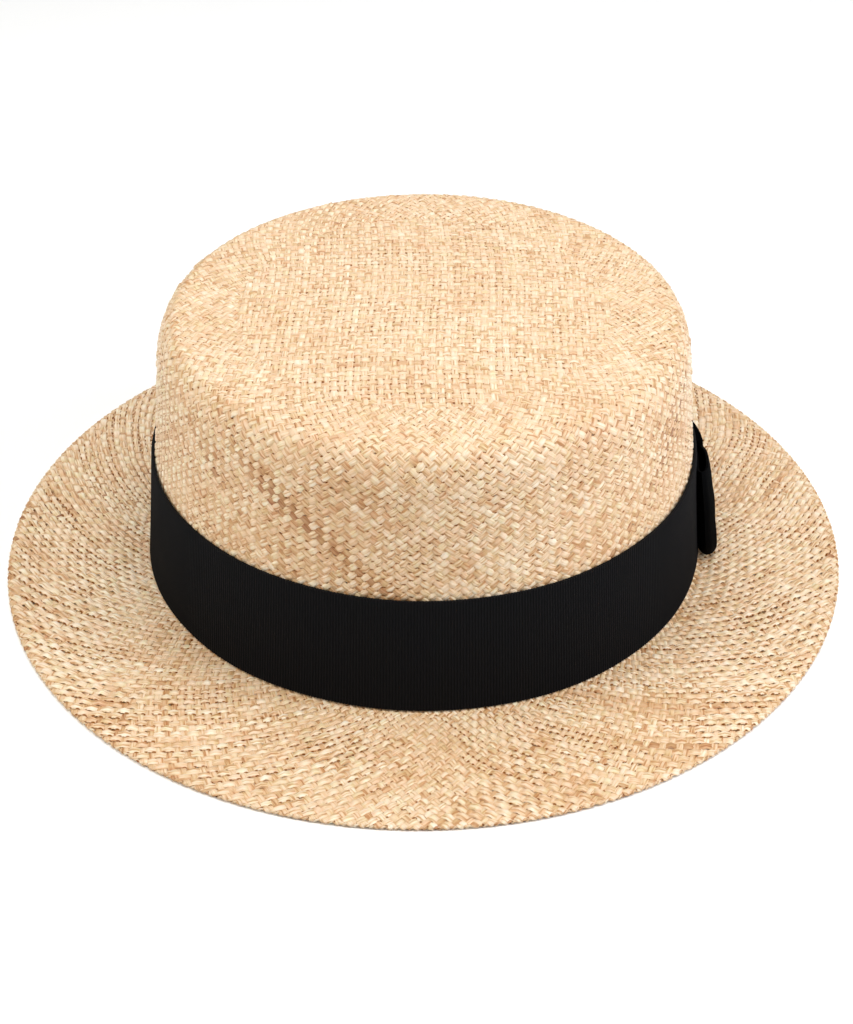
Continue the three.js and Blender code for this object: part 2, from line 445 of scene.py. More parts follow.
def straw_material(name, straw):
    """Dry straw: tone by strand, fibres along it, painted shade along its edges, where it dips and in
    pin-holes where strands part, and a faint gloss
    """
    material, tree, shader = new_material(name)
    tone = add_node(tree, "ShaderNodeAttribute", attribute_name=TONE).outputs["Fac"]
    tint = add_node(tree, "ShaderNodeAttribute", attribute_name=TINT).outputs["Fac"]
    height = add_node(tree, "ShaderNodeAttribute", attribute_name=HEIGHT).outputs["Fac"]
    slack = add_node(tree, "ShaderNodeAttribute", attribute_name=SLACK).outputs["Fac"]
    strand = add_node(tree, "ShaderNodeUVMap", uv_map=STRAND_MAP).outputs["UV"]
    fibres = noise(tree, scaled(tree, strand, (0.25, 4.0, 1.0)), 1.0, 4.0)
    streaks = noise(tree, scaled(tree, strand, (0.12, 1.5, 1.0)), 1.0, 2.0)
    colour = ramp_between(tree, tone, [
        (0.0, straw.pale), (0.42, straw.warm), (0.75, straw.tan), (1.0, straw.brown)])
    colour = multiply(tree, colour, ramp_between(tree, tint, [
        (0.0, straw.pinkish), (0.5, WHITE), (1.0, straw.greenish)]))
    colour = multiply(tree, colour, map_range(tree, fibres, 0.72, 1.22))
    colour = multiply(tree, colour, ramp_between(tree, streaks, [
        (0.42, WHITE), (0.54, straw.streak), (0.65, straw.burn)]))
    to_edge = away_from_middle(tree, strand)
    # Painted shade: each strand darkens towards its edges
    colour = multiply(tree, colour, ramp_between(tree, to_edge, [(0.7, WHITE), (1.0, straw.edge)]))
    # Painted shade of pin-holes at a strand's edges where the weave is slack, without gloss there
    pinhole_shade_mask = multiply(tree, slack, ramp_between(tree, to_edge, [(0.46, BLACK), (0.80, WHITE)]))
    colour = multiply(tree, colour, ramp_between(tree, pinhole_shade_mask, [(0.34, WHITE), (0.64, straw.painted_pinhole_shade)]))
    gloss = ramp_between(tree, pinhole_shade_mask, [(0.34, STRAW_GLOSS), (0.64, BLACK)])
    # Painted shade: a strand darkens by its height, where it sinks under a crossing strand
    colour = multiply(tree, colour, ramp_between(tree, height, [(0.2, straw.painted_dip_shade), (0.85, WHITE)]))
    tree.links.new(colour, shader.inputs["Base Color"])
    tree.links.new(gloss, shader.inputs["Specular IOR Level"])
    tree.links.new(map_range(tree, fibres, 0.30, 0.56), shader.inputs["Roughness"])
    tree.links.new(bumped(tree, fibres, 0.05 * MM), shader.inputs["Normal"])
    return material


def ribbon_material(name, black, gloss):
    """Black ribbed ribbon: fine threads, a little dusty on the ribs"""
    material, tree, shader = new_material(name)
    place = add_node(tree, "ShaderNodeTexCoord").outputs["Object"]
    threads = noise(tree, scaled(tree, place, (1.0, 1.0, 4.0)), 2600.0, 2.0)
    dust = noise(tree, place, 70.0, 4.0)
    pale = tuple(2.1 * value for value in black)
    colour = ramp_between(tree, threads, [(0.30, tuple(0.75 * value for value in black)), (0.72, pale)])
    colour = multiply(tree, colour, map_range(tree, dust, 0.8, 1.2))
    tree.links.new(colour, shader.inputs["Base Color"])
    tree.links.new(map_range(tree, dust, 0.55, 0.75), shader.inputs["Roughness"])
    tree.links.new(bumped(tree, threads, 0.06 * MM), shader.inputs["Normal"])
    shader.inputs["Specular IOR Level"].default_value = gloss
    return material


def floor_material(colour):
    """Plain pale studio floor"""
    material, tree, shader = new_material("studio_floor")
    place = add_node(tree, "ShaderNodeTexCoord").outputs["Object"]
    grain = noise(tree, place, 6.0)
    shade = tuple(0.985 * value for value in colour)
    tree.links.new(ramp_between(tree, grain, [(0.3, shade), (0.7, colour)]), shader.inputs["Base Color"])
    shader.inputs["Roughness"].default_value = 0.6
    return material


# Shapes of the straw

def oval(reach, turn):
    """A point of the crown's ovals, drawn out along Y by one length on the wall, in proportion on top"""
    stretch = 1 + LENGTHENING / np.maximum(reach, FLAT_HALF_WIDTH)
    return reach * np.cos(turn), reach * stretch * np.sin(turn)


def brim_plan(reach, turn):
    """A point of the brim's ovals, which change from the crown's oval to the turned oval of the edge"""
    inner_x, inner_y = oval(np.minimum(reach, FOOT_HALF_WIDTH), turn)
    edge_x = BRIM_HALF_WIDTH * np.cos(turn)
    edge_y = BRIM_HALF_LENGTH * np.sin(turn)
    turned_x = edge_x * math.cos(BRIM_TURN) - edge_y * math.sin(BRIM_TURN)
    turned_y = edge_x * math.sin(BRIM_TURN) + edge_y * math.cos(BRIM_TURN)
    share = np.maximum(reach - FOOT_HALF_WIDTH, 0) / (BRIM_HALF_WIDTH - FOOT_HALF_WIDTH)
    return inner_x + (turned_x - inner_x) * share, inner_y + (turned_y - inner_y) * share


def line(start, end, step=0.25 * MM):
    """Points along a straight stretch of a profile, without its last one"""
    start, end = np.array(start), np.array(end)
    count = max(2, int(np.linalg.norm(end - start) / step))
    return start + (end - start) * np.arange(count)[:, None] / count


def arc(centre, radius, start, end, count=16):
    """Points along a round stretch of a profile, without its last one; radius may differ each way"""
    angle = np.radians(start + (end - start) * np.arange(count) / count)
    radius = np.broadcast_to(radius, 2)
    return np.array(centre) + radius * np.stack([np.cos(angle), np.sin(angle)], axis=1)


def set_in(profile, depth):
    """Moves a profile of reach and height in from the outer face of the straw"""
    along = np.gradient(profile, axis=0)
    along /= np.linalg.norm(along, axis=1, keepdims=True)
    outward = np.stack([-along[:, 1], along[:, 0]], axis=1)
    return profile - outward * depth


def wall_reach(height):
    """Half-width of the crown's outer face at a height"""
    return FOOT_HALF_WIDTH - WALL_LEAN * (height - CROWN_LOW.z)


def crown_profile(depth, foot):
    """Middle of the straw from the centre of the crown top down to the foot of the wall"""
    across = np.linspace(0, FLAT_HALF_WIDTH, 200)[:-1]
    top = np.stack([across, CROWN_EDGE + TOP_RISE * (1 - (across / FLAT_HALF_WIDTH) ** 2)], axis=1)
    shoulder = arc((FLAT_HALF_WIDTH, WALL_TOP), (SHOULDER_IN, SHOULDER_DOWN), 90, 0, 40)
    wall = line((wall_reach(WALL_TOP), WALL_TOP), (wall_reach(foot), foot))
    return set_in(np.concatenate([top, shoulder, wall]), depth)


def brim_profile(depth, head, hem):
    """Middle of the straw from the wall's foot out along the brim, round its edge and back under it"""
    foot = wall_reach(BRIM_TOP + BRIM_BEND) - depth
    edge = BRIM_HALF_WIDTH - EDGE_FOLD - EDGE_HALF_THICK
    under = BRIM_MIDDLE - 2 * EDGE_FOLD
    return np.concatenate([
        line((wall_reach(head) - depth, head), (foot, BRIM_MIDDLE + BRIM_BEND)),
        arc((foot + BRIM_BEND, BRIM_MIDDLE + BRIM_BEND), BRIM_BEND, 180, 270, 8),
        line((foot + BRIM_BEND, BRIM_MIDDLE), (edge, BRIM_MIDDLE)),
        arc((edge, BRIM_MIDDLE - EDGE_FOLD), EDGE_FOLD, 90, -90, 12),
        line((edge, under), (edge - hem, under)),
    ])


class Surface:
    """A woven face: a profile of reach and height carried round on ovals"""

    def __init__(self, profile, plan):
        steps = np.linalg.norm(np.diff(profile, axis=0), axis=1)
        self.run = np.concatenate([[0.0], np.cumsum(steps)])
        self.profile = profile
        self.plan = plan
        quarter = np.array([0.0, np.pi / 2])
        x, y = plan(profile[:, :1], quarter)
        self.round = 2 * np.pi * np.sqrt((x[:, 0] ** 2 + y[:, 1] ** 2) / 2)

    def point(self, run, turn):
        """The point at a length along the profile and an angle round it"""
        reach = np.interp(run, self.run, self.profile[:, 0])
        height = np.interp(run, self.run, self.profile[:, 1])
        x, y = self.plan(reach, turn)
        return np.stack(np.broadcast_arrays(x, y, height), axis=-1)

    def normal(self, run, turn):
        """The outward normal at a point"""
        step = 0.05 * MM
        run = np.clip(run, 1 * MM, self.run[-1] - step)
        down = self.point(run + step, turn) - self.point(run - step, turn)
        round_it = self.point(run, turn + 0.001) - self.point(run, turn - 0.001)
        normal = np.cross(down, round_it)
        return normal / np.linalg.norm(normal, axis=-1, keepdims=True)

    def levels(self, steps):
        """Rings of crossings passed along the profile; steps gives the distance between them by run"""
        step = np.interp(self.run, *np.array(steps).T)
        return np.concatenate([[0.0], np.cumsum(2 * np.diff(self.run) / (step[1:] + step[:-1]))])


def smooth_noise(rng, rows, places, knot):
    """Smooth random values of -1 to 1 for each row, with a new value about every knot"""
    knots = rng.uniform(-1, 1, (rows, int(places.max() / knot) + 3))
    whole = np.floor(places / knot).astype(int)
    part = places / knot - whole
    part = part * part * (3 - 2 * part)
    row = np.arange(rows)[:, None]
    return knots[row, whole] * (1 - part) + knots[row, whole + 1] * part


def patches(rng, points, size, waves=7):
    """Soft patches of about -1 to 1 over the hat"""
    total = np.zeros(points.shape[:-1])
    for _ in range(waves):
        way = rng.normal(size=3)
        way *= rng.uniform(0.6, 1.6) * 2 * np.pi / size / np.linalg.norm(way)
        total += np.sin(points @ way + rng.uniform(0, 2 * np.pi))
    return total / math.sqrt(waves)


def smooth_step(value):
    """0 below 0, 1 above 1, and smooth between"""
    value = np.clip(value, 0, 1)
    return value * value * (3 - 2 * value)


def strand_section(surface, place, rise, thickness):
    """The corners of a strand's sections; place gives the run and turn of each line along the strand"""
    corners = []
    for across, raised in zip(ACROSS, RAISED):
        run, turn = place(across)
        out = rise + raised * thickness / 2
        corners.append(surface.point(run, turn) + surface.normal(run, turn) * out[..., None])
    return np.stack(corners, axis=2)


class Looks:
    """Tone, tint, slack, puff, width and lead of strands along their lengths; hand is 1 or -1 by lay. The
    slack places painted pin-hole shade, and the lead paints light and shade into the tone
    """

    def __init__(self, rng, points, lengths, shade_and_spread, hand):
        rows = len(points)
        here = np.random.default_rng(PATCH_SEED)
        tone = USUAL_TONE + STRAND_TONE * rng.normal(size=(rows, 1))
        tone = tone + FLOAT_TONE * rng.normal(size=lengths.shape)
        tone += ALONG_TONE * smooth_noise(rng, rows, lengths, 14 * MM)
        tone += PATCH_TONE * patches(here, points, 60 * MM)
        kind = smooth_noise(rng, rows, lengths, 42 * MM)
        tone += DARKER * smooth_step((kind - 0.62) / 0.2) - PALER * smooth_step((-0.55 - kind) / 0.2)
        burnt = smooth_noise(rng, rows, lengths, 4 * MM) + 0.4 * patches(here, points, 30 * MM)
        tone += BURNT * smooth_step((burnt - 0.72) / 0.5)
        # Contrast: how far tones spread and how deep the painted dip shade is
        self.contrast = (0.32 + 0.68 * shade_and_spread) * np.ones(lengths.shape)
        tone = np.clip(USUAL_TONE + (tone - USUAL_TONE) * self.contrast, 0, 1)
        self.tint = np.clip(0.5 + TINT_SPREAD * rng.normal(size=lengths.shape), 0, 1)
        # The slack places the painted pin-hole shade, in soft patches
        slack = smooth_noise(rng, rows, lengths, 9 * MM) + 0.3 * patches(here, points, 24 * MM)
        self.slack = (0.55 + 0.45 * shade_and_spread) * smooth_step((slack - 0.10) / 0.40)
        self.width = np.clip(1 + 0.03 * rng.normal(size=(rows, 1)), 0.97, 1.08)
        loose = smooth_step(0.4 + 0.6 * patches(here, points, 50 * MM))
        self.puff = 1 + (0.12 + 0.38 * loose) * np.clip(rng.normal(size=lengths.shape), -1, 2)
        # Where one lay leads it also stands out; its tone is painted paler as if lit and the other lay's
        # darker as if in its shade. Each lay leads towards its own side of the hat
        lead = 0.6 * patches(here, points, 110 * MM) + points[..., 0] / (90 * MM)
        self.lead = shade_and_spread * hand * np.clip(lead, -1, 1)
        self.puff *= 1 + LEAD_PUFF * self.lead
        self.tone = np.clip(tone - LEAD_LIGHT_AND_SHADE * self.lead, 0, 1) + LAY_TONE * hand


def tuck(levels):
    """How far a strand dips at its ends"""
    from_end = np.minimum(levels - levels[0], levels[-1] - levels)
    return -TUCK_DEPTH * (1 - smooth_step(from_end / TUCK_LEVELS))


class Lay:
    """A set of like strands: sections, looks, heights and lengths, with a row for each strand"""

    def __init__(self, section, looks, over):
        self.section = section
        self.values = {
            TONE: looks.tone,
            TINT: looks.tint,
            # The painted pin-hole shade shows midway between crossings
            SLACK: looks.slack * (1 - np.abs(over)),
            # The height drives the painted dip shade, which is weaker where the contrast is low
            HEIGHT: 1 - (0.5 - 0.5 * over) * looks.contrast,
        }
        middle = section.mean(axis=2)
        steps = np.linalg.norm(np.diff(middle, axis=1), axis=-1)
        start = np.zeros((len(middle), 1))
        self.length = np.concatenate([start, np.cumsum(steps, axis=1)], axis=1)


def float_shape(over):
    """Share of a strand's width along it: widest where it floats over or under another strand"""
    return 1.01 + 0.02 * np.abs(over)


def spiral_lay(surface, straw, count, hand, steps, seed,
               shade_and_spread=((0.0, 1.0),), lift=((0.0, 0.0),), pressed_from=None, bends=()):
    """One lay of spiral strands over a stretch of the profile; hand is 1 or -1.

    steps lists the run and the distance between rings of crossings there, from the first run to the last,
    shade_and_spread lists the run and how strong the painted shade of dips and pin-holes, the painted light
    and shade of the leading lay and the spread of tones are there, and lift the run and how far the leading
    lay stands out there. From pressed_from on the straw is pressed flat for the hem, and bends are runs
    that need a section too.
    """
    rng = np.random.default_rng(seed)
    passed = surface.levels(steps)
    first, last = np.interp([steps[0][0], steps[-1][0]], surface.run, passed)
    levels = np.arange(math.ceil(2 * first), math.floor(2 * last) + 1) / 2
    levels = np.union1d(levels, np.interp(bends, surface.run, passed))
    run = np.interp(levels, passed, surface.run)
    step = np.interp(run, *np.array(steps).T)
    pressed = np.zeros_like(run)
    if pressed_from is not None:
        pressed = smooth_step((run - pressed_from) / PRESS_REACH)
    press = 1 - PRESS_THINS * pressed
    sway = SWAY * smooth_noise(rng, count, np.broadcast_to(run, (count, len(run))), SWAY_LENGTH)
    turn = 2 * np.pi * (np.arange(count)[:, None] + sway + hand * levels / 2) / count
    turn = turn + 0.008 * np.sin(7 * turn + 1.3) + 0.005 * np.sin(13 * turn + 120 * run)
    run = np.broadcast_to(run, turn.shape)
    shade_and_spread_here = np.interp(run, *np.array(shade_and_spread).T)
    looks = Looks(rng, surface.point(run, turn), run - run.min(), shade_and_spread_here, hand)
    over = hand * np.cos(np.pi * levels)
    puff = 1 + (looks.puff - 1) * (1 - pressed)
    lifted = np.interp(run, *np.array(lift).T) * looks.lead * (1 - pressed)
    rise = straw.rise * press * over * puff + lifted + tuck(levels)
    spread_flat = 1.3 - 0.6 * press
    share = np.maximum(looks.width * float_shape(over), spread_flat)
    around = np.interp(run, surface.run, surface.round)
    apart = around / count
    slant = np.hypot(step, apart / 2)
    half_width = 0.5 * straw.fill * share * apart * step / slant
    side_run = -hand * half_width * apart / 2 / slant
    side_turn = 2 * np.pi * half_width * step / slant / around

    def place(across):
        return run + across * side_run, turn + across * side_turn

    return Lay(strand_section(surface, place, rise, straw.thickness * press), looks, over)


def grid_lay(surface, straw, across_hat, seed):
    """One lay of the crown top's even grid, a strand at a time; they run along X or along Y"""
    rng = np.random.default_rng(seed)
    pitches = (straw.column_pitch, straw.row_pitch)
    step, pitch = pitches if across_hat else pitches[::-1]
    hand = 1 if across_hat else -1
    reach = straw.grid_radius + GRID_OVERLAP
    rows = int(reach / pitch)
    lays = []
    for row in range(-rows, rows):
        offset = (row + 0.5) * pitch
        halves = int(2 * math.sqrt(max(reach ** 2 - offset ** 2, 0)) / step)
        if halves < 3:
            continue
        along = np.arange(-halves, halves + 1)[None, :] * step / 2
        sideways = offset + SWAY * pitch * smooth_noise(rng, 1, along - along.min(), SWAY_LENGTH)
        over = hand * np.cos(np.pi * (along / step - 0.5 + row))

        def place(across, shift=0.0):
            x, y = (along, sideways + across * shift) if across_hat else (sideways - across * shift, along)
            bent_x = x + GRID_BEND * np.sin(y / (17 * MM) + 0.4)
            bent_y = y + GRID_BEND * np.sin(x / (19 * MM) + 1.1)
            return np.hypot(bent_x, bent_y), np.arctan2(bent_y, bent_x)

        run, turn = place(0.0)
        looks = Looks(rng, surface.point(run, turn), along - along.min(), straw.top_shade_and_spread, hand)
        sunk = GRID_SINK * smooth_step(0.5 + (run - straw.grid_radius) / GRID_SINK_REACH)
        rise = straw.rise * over * looks.puff - sunk
        half_width = 0.5 * straw.fill * looks.width * float_shape(over) * pitch
        section = strand_section(
            surface, lambda across: place(across, half_width), rise, straw.thickness * np.ones_like(rise))
        lays.append(Lay(section, looks, over))
    return lays


def bake_places(lays, girth):
    """Where each strand starts on a square sheet that holds them all in rows, and the sheet's side"""
    lengths = np.concatenate([lay.length[:, -1] for lay in lays])
    side = max(math.sqrt(lengths.sum() * girth), lengths.max())
    places, x, y = [], 0.0, 0.0
    for length in lengths:
        if x + length > side:
            x, y = 0.0, y + girth
        places.append((x, y))
        x += length + 0.1 * girth
    return np.array(places), max(side, y + girth)


def strand_faces(strands, stations, first):
    """Corners of the faces of closed strands with so many stations each, from the vertex first"""
    base = first + CORNERS * stations * np.arange(strands)[:, None, None]
    here = base + CORNERS * np.arange(stations - 1)[None, :, None]
    ahead = here + CORNERS
    corner = np.arange(CORNERS)[None, None, :]
    after = (corner + 1) % CORNERS
    sides = np.stack([here + corner, ahead + corner, ahead + after, here + after], axis=-1)
    start = base[:, 0, :] + np.arange(CORNERS)
    end = base[:, 0, :] + CORNERS * (stations - 1) + np.arange(CORNERS)[::-1]
    return sides.reshape(-1, 4), np.concatenate([start, end])


def side_map(along, left, right):
    """Map corners of the strands' sides: along the strand, and from left to right round its section"""
    ahead = np.stack([along[:, :-1], along[:, 1:], along[:, 1:], along[:, :-1]], axis=-1)
    around = np.stack([left, left, right, right], axis=-1)
    if around.ndim == 2:
        around = around[None]
    shape = (*ahead.shape[:2], CORNERS, 4)
    uv = np.stack([
        np.broadcast_to(ahead[:, :, None, :], shape),
        np.broadcast_to(around[:, None, :, :], shape)], axis=-1)
    return uv.reshape(-1, 2)


def end_map(along, around):
    """Map corners of the strands' ends"""
    return np.concatenate([
        np.stack([np.broadcast_to(place[:, None], (len(along), CORNERS)), around], axis=-1).reshape(-1, 2)
        for place in (along[:, 0], along[:, -1])])


def strand_mesh(name, lays, girth):
    """Joins lays of strands into one mesh with its tones, heights and two maps"""
    places, side = bake_places(lays, girth)
    across = np.array(ACROSS)
    corner = np.arange(CORNERS)
    rise = 0.9 * girth / side / CORNERS
    sides, ends = [], []
    maps = {STRAND_MAP: ([], []), BAKE_MAP: ([], [])}
    first, row = 0, 0
    for lay in lays:
        strands, stations = lay.length.shape
        lay_sides, lay_ends = strand_faces(strands, stations, first)
        sides.append(lay_sides)
        ends.append(lay_ends)
        place = places[row:row + strands]
        along = lay.length / MM + STRAND_STRIDE * (row + np.arange(strands))[:, None]
        maps[STRAND_MAP][0].append(side_map(along, across, np.roll(across, -1)))
        maps[STRAND_MAP][1].append(end_map(along, np.broadcast_to(across, (strands, CORNERS))))
        along = (lay.length + place[:, :1]) / side
        low = place[:, 1:] / side + rise * corner
        maps[BAKE_MAP][0].append(side_map(along, low, low + rise))
        maps[BAKE_MAP][1].append(end_map(along, low))
        first += strands * stations * CORNERS
        row += strands
    values = {
        value_name: np.concatenate([np.repeat(lay.values[value_name].ravel(), CORNERS) for lay in lays])
        for value_name in (TONE, TINT, SLACK, HEIGHT)
    }
    points = np.concatenate([lay.section.reshape(-1, 3) for lay in lays])
    joined = {key: np.concatenate(on_sides + on_ends) for key, (on_sides, on_ends) in maps.items()}
    return mesh_from_faces(name, points, [np.concatenate(sides), np.concatenate(ends)], values, joined)


def mesh_from_faces(name, points, faces, values, maps):
    """A mesh from arrays of points and of faces with equal corners, with point values and maps"""
    mesh = bpy.data.meshes.new(name)
    mesh.vertices.add(len(points))
    mesh.vertices.foreach_set("co", points.astype(np.float32).ravel())
    corners = np.concatenate([group.ravel() for group in faces])
    sizes = np.concatenate([np.full(len(group), group.shape[1]) for group in faces])
    mesh.loops.add(len(corners))
    mesh.loops.foreach_set("vertex_index", corners.astype(np.int32))
    mesh.polygons.add(len(sizes))
    mesh.polygons.foreach_set("loop_start", (np.cumsum(sizes) - sizes).astype(np.int32))
    mesh.update(calc_edges=True)
    for value_name, value in values.items():
        attribute = mesh.attributes.new(value_name, "FLOAT", "POINT")
        attribute.data.foreach_set("value", value.astype(np.float32))
    for map_name, uv in maps.items():
        layer = mesh.uv_layers.new(name=map_name, do_init=False)
        layer.uv.foreach_set("vector", uv.astype(np.float32).ravel())
    keep_edges_crisp(mesh)
    mesh.validate()
    return mesh


def keep_edges_crisp(mesh):
    """Smooth strands with a crisp line along both edges"""
    ends = np.zeros(2 * len(mesh.edges), np.int32)
    mesh.edges.foreach_get("vertices", ends)
    corner = ends.reshape(-1, 2) % CORNERS
    crisp = (corner[:, 0] == corner[:, 1]) & np.isin(corner[:, 0], EDGE_CORNERS)
    mesh.shade_smooth()
    mesh.attributes.new("sharp_edge", "BOOLEAN", "EDGE").data.foreach_set("value", crisp)


def place_piece(mesh, material, node):
    """Links a finished mesh as a piece that stands for a node of the frame"""
    mesh.materials.append(material)
    piece = bpy.data.objects.new(mesh.name, mesh)
    bpy.context.scene.collection.objects.link(piece)
    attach(piece, "root")
    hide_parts(node)
    return piece


def straw_depth(straw):
    """From the outer face of the straw to its middle"""
    return straw.rise + straw.thickness / 2


def strand_girth(straw):
    """Length round a strand, for its place on the bake's sheet"""
    return 2.3 * straw.row_pitch


class BOATER_OT_crown_top(bpy.types.Operator):
    """Weave the even grid in the middle of the crown top"""

    bl_idname = "boater.crown_top"
    bl_label = "Crown Top"

    def execute(self, context):
        straw = context.scene.boater.straw
        surface = Surface(crown_profile(straw_depth(straw), CROWN_LOW.z), oval)
        material = straw_material("crown_top_straw", straw)
        for name, across, seed in (("crown_top_across", True, 21), ("crown_top_along", False, 22)):
            mesh = strand_mesh(name, grid_lay(surface, straw, across, seed), strand_girth(straw))
            place_piece(mesh, material, "crown")
        return {"FINISHED"}


class BOATER_OT_crown_wall(bpy.types.Operator):
    """Weave the rim of the crown top, its shoulder and its wall"""

    bl_idname = "boater.crown_wall"
    bl_label = "Crown Wall"

    def execute(self, context):
        straw = context.scene.boater.straw
        surface = Surface(crown_profile(straw_depth(straw), WALL_FOOT), oval)
        material = straw_material("crown_wall_straw", straw)
        steps = [
            (straw.grid_radius - SPIRAL_OVERLAP, straw.rim_step),
            (FLAT_HALF_WIDTH, straw.rim_step),
            (FLAT_HALF_WIDTH + SHOULDER_DOWN, straw.wall_step),
            (surface.run[-1], straw.wall_step),
        ]
        # The rim keeps the crown top's painted shade and tone spread; the wall has them in full
        shade_and_spread = [(FLAT_HALF_WIDTH, straw.top_shade_and_spread), (FLAT_HALF_WIDTH + SHOULDER_DOWN, 1.0)]
        for name, hand, seed in (("crown_wall_right_lay", 1, 31), ("crown_wall_left_lay", -1, 32)):
            lay = spiral_lay(surface, straw, straw.wall_strands, hand, steps, seed, shade_and_spread)
            mesh = strand_mesh(name, [lay], strand_girth(straw))
            place_piece(mesh, material, "crown")
        return {"FINISHED"}


class BOATER_OT_brim(bpy.types.Operator):
    """Weave the brim and turn its edge under"""

    bl_idname = "boater.brim"
    bl_label = "Brim"

    def execute(self, context):
        straw = context.scene.boater.straw
        surface = Surface(brim_profile(straw_depth(straw), BRIM_HEAD, straw.hem), brim_plan)
        material = straw_material("brim_straw", straw)
        steps = [(0.0, straw.brim_step), (surface.run[-1], straw.brim_step)]
        edge = surface.run[-1] - straw.hem - math.pi * EDGE_FOLD / 2
        bends = edge + np.linspace(-1.5, 1.5, 15) * MM
        for name, hand, seed in (("brim_right_lay", 1, 41), ("brim_left_lay", -1, 42)):
            lay = spiral_lay(
                surface, straw, straw.brim_strands, hand, steps, seed,
                lift=BRIM_LIFT, pressed_from=edge - PRESS_REACH, bends=bends)
            mesh = strand_mesh(name, [lay], strand_girth(straw))
            place_piece(mesh, material, "brim")
        return {"FINISHED"}


# Ribbon and bow

def ribbed_piece(name, shape, cloth, look, node):
    """Gives a ribbed sheet its thickness, inwards from its outer face, and makes it a piece"""
    bmesh.ops.recalc_face_normals(shape, faces=shape.faces[:])
    bmesh.ops.solidify(shape, geom=shape.faces[:], thickness=cloth)
    for edge in shape.edges:
        edge.smooth = edge.calc_face_angle(0.0) < RIM_ANGLE
    for face in shape.faces:
        face.smooth = True
    mesh = bpy.data.meshes.new(name)
    shape.to_mesh(mesh)
    shape.free()
    return place_piece(mesh, ribbon_material(name + "_cloth", *look), node)


def upright_line(shape, heights):
    """An upright row of vertices joined by edges, at X = 1"""
    corners = [shape.verts.new((1.0, 0.0, height)) for height in heights]
    return corners + [shape.edges.new(pair) for pair in zip(corners, corners[1:])]


def spun_round(shape, heights, steps):
    """A ring of radius 1, spun from an upright line"""
    bmesh.ops.spin(
        shape, geom=upright_line(shape, heights), cent=(0, 0, 0), axis=(0, 0, 1), dvec=(0, 0, 0),
        angle=2 * math.pi, steps=steps, use_merge=True)


def in_groove(part, steps):
    """1 at the odd steps of a ring, which are the grooves between its ribs, and 0 at the even ones"""
    return round(part * steps) % 2


def band_reach(height):
    """Half-width of the ribbon's outer face at a height"""
    return BAND_HALF_WIDTH - WALL_LEAN * (height - BAND_LOW.z)


class BOATER_OT_ribbon_band(bpy.types.Operator):
    """Wind the ribbed ribbon round the foot of the crown"""

    bl_idname = "boater.ribbon_band"
    bl_label = "Ribbon Band"

    def execute(self, context):
        ribbon = context.scene.boater.ribbon
        length = 2 * math.pi * math.sqrt((BAND_HALF_WIDTH ** 2 + (BAND_HALF_WIDTH + LENGTHENING) ** 2) / 2)
        steps = 2 * round(length / ribbon.rib_pitch)
        shape = bmesh.new()
        spun_round(shape, np.linspace(BAND_LOW.z, BAND_HIGH.z, 9), steps)
        for vertex in shape.verts:
            turn = math.atan2(vertex.co.y, vertex.co.x)
            height = vertex.co.z
            groove = ribbon.rib_depth * in_groove(turn / (2 * math.pi), steps)
            wave = RIBBON_WAVE * math.sin(5 * turn + 90 * height) + 0.08 * MM * math.sin(11 * turn + 1)
            reach = band_reach(height) - groove + wave - 0.1 * MM
            vertex.co.x, vertex.co.y = oval(reach, turn)
            vertex.co.z = height + RIBBON_WAVE * math.sin(3 * turn + 0.7)
        look = (tuple(ribbon.black), RIBBON_GLOSS)
        band = ribbed_piece("ribbon", shape, ribbon.cloth, look, "ribbon_band")
        return {"FINISHED"}


def onto_band(out, along, height, bow):
    """A point of the bow given by distance out from the band, length along it and height above the brim"""
    middle = (bow.bottom + bow.top) / 2
    level = (height - middle) / (bow.top - middle)
    tilt = 1 - bow.tilt * level - bow.taper * max(0.0, level) ** 2
    reach = -WALL_LEAN * height + GAP + (out - GAP) * tilt
    angle = (BOW_BEHIND_SIDE + along) / (BAND_HALF_WIDTH + LENGTHENING)
    across = (BAND_HALF_WIDTH + reach) * math.cos(angle)
    back = (BAND_HALF_WIDTH + LENGTHENING + reach) * math.sin(angle)
    return Vector((across, back, BRIM_TOP + height))


def near_knot(along, bow):
    """1 at the middle of the bow, falling to 0 in the loops"""
    return math.exp(-((along / bow.waist_reach) ** 2))


def bow_out(along, bow):
    """How far the loops stand out from the band"""
    return bow.full + (bow.pinched - bow.full) * near_knot(along, bow)


def bow_half_height(along, bow):
    """Half the height of the loops"""
    full = (bow.top - bow.bottom) / 2
    return full + (bow.waist / 2 - full) * near_knot(along, bow)


def onto_loops(part, level, groove, bow):
    """A point on the outer face of the flattened loops.

    part goes once round them, from the front end of the outer ply. level runs from -1 at their lower edge
    to 1 at their upper edge, where the corners are rounded off.
    """
    half = bow.length / 2
    outer = part < 0.5
    run = half * (4 * part - 1 if outer else 3 - 4 * part)
    into_fold = max(0.0, abs(run) - (half - bow.fold)) / bow.fold
    roundness = math.sqrt(max(0.0, 1 - into_fold ** 2))
    middle = (bow_out(run, bow) + GAP) / 2
    half_thick = (bow_out(run, bow) - GAP) / 2 - groove
    gather = LOOP_GATHER * math.cos(2.5 * math.pi * level) * near_knot(0.6 * run, bow) * roundness
    out = middle + (half_thick if outer else -half_thick) * roundness + (gather if outer else 0.0)
    along = run * (1 - 2 * bow.corner * level ** 4 / bow.length)
    height = (bow.bottom + bow.top) / 2 + level * bow_half_height(along, bow)
    return onto_band(out, along, height, bow)


